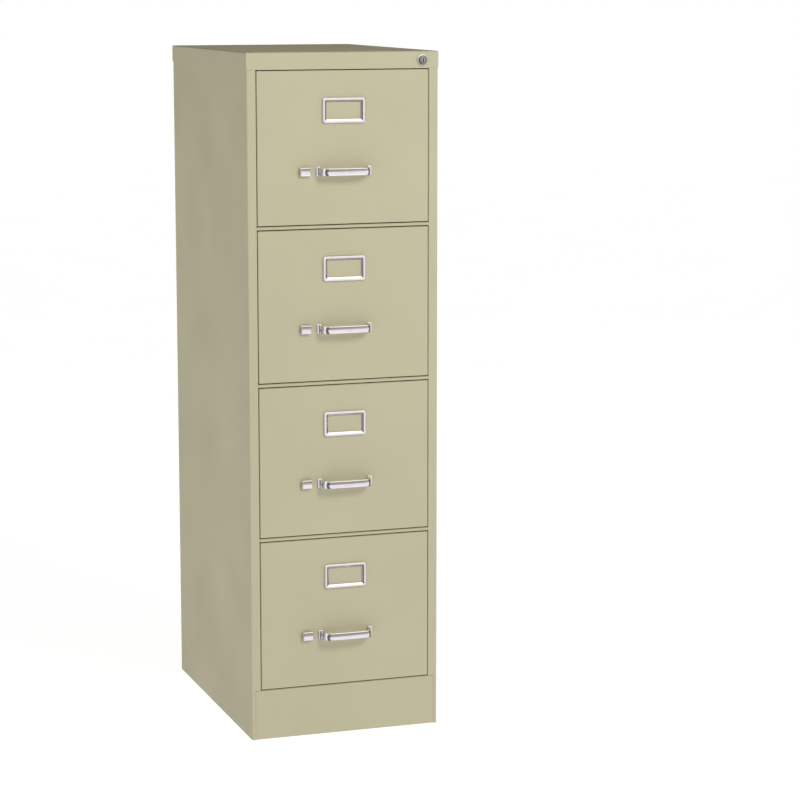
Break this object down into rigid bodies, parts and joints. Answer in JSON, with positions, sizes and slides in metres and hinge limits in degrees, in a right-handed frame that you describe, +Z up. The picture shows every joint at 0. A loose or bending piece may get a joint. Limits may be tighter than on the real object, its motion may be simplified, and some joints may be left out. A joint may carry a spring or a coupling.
{
  "type": "filing cabinet",
  "caption": "Upright sheet-steel filing cabinet with sliding letter-size drawers, each with an arched handle, a label holder and a thumb latch, and a push lock in the top rail.",
  "frame": {"origin": "on the floor, at the centre of the footprint of the case together with the handles that stand out in front", "axes": "+Z up; the drawer fronts face -Y; +X is on the right of someone who faces them, the lock's side"},
  "size_m": [0.381, 0.5878, 1.3208],
  "materials": {
    "putty_enamel": "baked enamel in warm putty, satin, with a fine orange-peel texture",
    "bright_plate": "bright nickel or chrome plate, slightly softened",
    "zinc_steel": "clear zinc plate on cold-rolled steel",
    "lock_steel": "turned face of a lock plug, satin"
  },
  "bodies": {
    "case": {"side_panel_right": "putty_enamel", "side_panel_left": "putty_enamel", "back_panel": "putty_enamel", "top_cap": "putty_enamel", "bottom_pan": "putty_enamel", "kick_plate": "putty_enamel", "cross_rail_1": "putty_enamel", "cross_rail_2": "putty_enamel", "cross_rail_3": "putty_enamel", "slide_outer_1_right": "zinc_steel", "slide_outer_1_left": "zinc_steel", "slide_outer_2_right": "zinc_steel", "slide_outer_2_left": "zinc_steel", "slide_outer_3_right": "zinc_steel", "slide_outer_3_left": "zinc_steel", "slide_outer_4_right": "zinc_steel", "slide_outer_4_left": "zinc_steel", "lock_housing": "bright_plate", "lock_clip": "zinc_steel", "lock_bar_guide_lower": "zinc_steel", "lock_bar_guide_upper": "zinc_steel"},
    "drawer_1": {"drawer_front_1": "putty_enamel", "drawer_tray_1": "putty_enamel", "handle_1": "bright_plate", "label_holder_1": "bright_plate", "slide_inner_1_right": "zinc_steel", "slide_inner_1_left": "zinc_steel"},
    "drawer_2": {"drawer_front_2": "putty_enamel", "drawer_tray_2": "putty_enamel", "handle_2": "bright_plate", "label_holder_2": "bright_plate", "slide_inner_2_right": "zinc_steel", "slide_inner_2_left": "zinc_steel"},
    "drawer_3": {"drawer_front_3": "putty_enamel", "drawer_tray_3": "putty_enamel", "handle_3": "bright_plate", "label_holder_3": "bright_plate", "slide_inner_3_right": "zinc_steel", "slide_inner_3_left": "zinc_steel"},
    "drawer_4": {"drawer_front_4": "putty_enamel", "drawer_tray_4": "putty_enamel", "handle_4": "bright_plate", "label_holder_4": "bright_plate", "slide_inner_4_right": "zinc_steel", "slide_inner_4_left": "zinc_steel"},
    "middle_slides_1": {"slide_middle_1_right": "zinc_steel", "slide_middle_1_left": "zinc_steel"},
    "middle_slides_2": {"slide_middle_2_right": "zinc_steel", "slide_middle_2_left": "zinc_steel"},
    "middle_slides_3": {"slide_middle_3_right": "zinc_steel", "slide_middle_3_left": "zinc_steel"},
    "middle_slides_4": {"slide_middle_4_right": "zinc_steel", "slide_middle_4_left": "zinc_steel"},
    "latch_1": {"latch_1": "bright_plate"},
    "latch_2": {"latch_2": "bright_plate"},
    "latch_3": {"latch_3": "bright_plate"},
    "latch_4": {"latch_4": "bright_plate"},
    "lock_plunger": {"lock_plunger": "bright_plate"},
    "lock_core": {"lock_core": "lock_steel"},
    "lock_bar": {"lock_bar": "zinc_steel"}
  },
  "joints": [
    {"name": "drawer_slide_1", "type": "slide", "parent": "case", "child": "drawer_1", "axis": [0, -1, 0], "range_m": [0, 0.44]},
    {"name": "drawer_slide_2", "type": "slide", "parent": "case", "child": "drawer_2", "axis": [0, -1, 0], "range_m": [0, 0.44]},
    {"name": "drawer_slide_3", "type": "slide", "parent": "case", "child": "drawer_3", "axis": [0, -1, 0], "range_m": [0, 0.44]},
    {"name": "drawer_slide_4", "type": "slide", "parent": "case", "child": "drawer_4", "axis": [0, -1, 0], "range_m": [0, 0.44]},
    {"name": "middle_slide_1", "type": "slide", "parent": "case", "child": "middle_slides_1", "axis": [0, -1, 0], "range_m": [0, 0.22]},
    {"name": "middle_slide_2", "type": "slide", "parent": "case", "child": "middle_slides_2", "axis": [0, -1, 0], "range_m": [0, 0.22]},
    {"name": "middle_slide_3", "type": "slide", "parent": "case", "child": "middle_slides_3", "axis": [0, -1, 0], "range_m": [0, 0.22]},
    {"name": "middle_slide_4", "type": "slide", "parent": "case", "child": "middle_slides_4", "axis": [0, -1, 0], "range_m": [0, 0.22]},
    {"name": "latch_press_1", "type": "slide", "parent": "drawer_1", "child": "latch_1", "axis": [1, 0, 0], "range_m": [0, 0.008], "stiffness_N_per_m": 300, "springref_m": -0.004},
    {"name": "latch_press_2", "type": "slide", "parent": "drawer_2", "child": "latch_2", "axis": [1, 0, 0], "range_m": [0, 0.008], "stiffness_N_per_m": 300, "springref_m": -0.004},
    {"name": "latch_press_3", "type": "slide", "parent": "drawer_3", "child": "latch_3", "axis": [1, 0, 0], "range_m": [0, 0.008], "stiffness_N_per_m": 300, "springref_m": -0.004},
    {"name": "latch_press_4", "type": "slide", "parent": "drawer_4", "child": "latch_4", "axis": [1, 0, 0], "range_m": [0, 0.008], "stiffness_N_per_m": 300, "springref_m": -0.004},
    {"name": "lock_push", "type": "slide", "parent": "case", "child": "lock_plunger", "axis": [0, 1, 0], "range_m": [0, 0.006], "stiffness_N_per_m": 400, "springref_m": -0.004},
    {"name": "lock_turn", "type": "hinge", "parent": "lock_plunger", "child": "lock_core", "pos_m": [0.158, -0.2649, 1.3035], "axis": [0, 1, 0], "range_deg": [0, 90]},
    {"name": "lock_lift", "type": "slide", "parent": "case", "child": "lock_bar", "axis": [0, 0, 1], "range_m": [0, 0.006]}
  ],
  "couplings": [
    {"joint": "middle_slide_1", "follows": "drawer_slide_1", "ratio": 0.5},
    {"joint": "middle_slide_2", "follows": "drawer_slide_2", "ratio": 0.5},
    {"joint": "middle_slide_3", "follows": "drawer_slide_3", "ratio": 0.5},
    {"joint": "middle_slide_4", "follows": "drawer_slide_4", "ratio": 0.5},
    {"joint": "lock_lift", "follows": "lock_push", "ratio": 1}
  ]
}
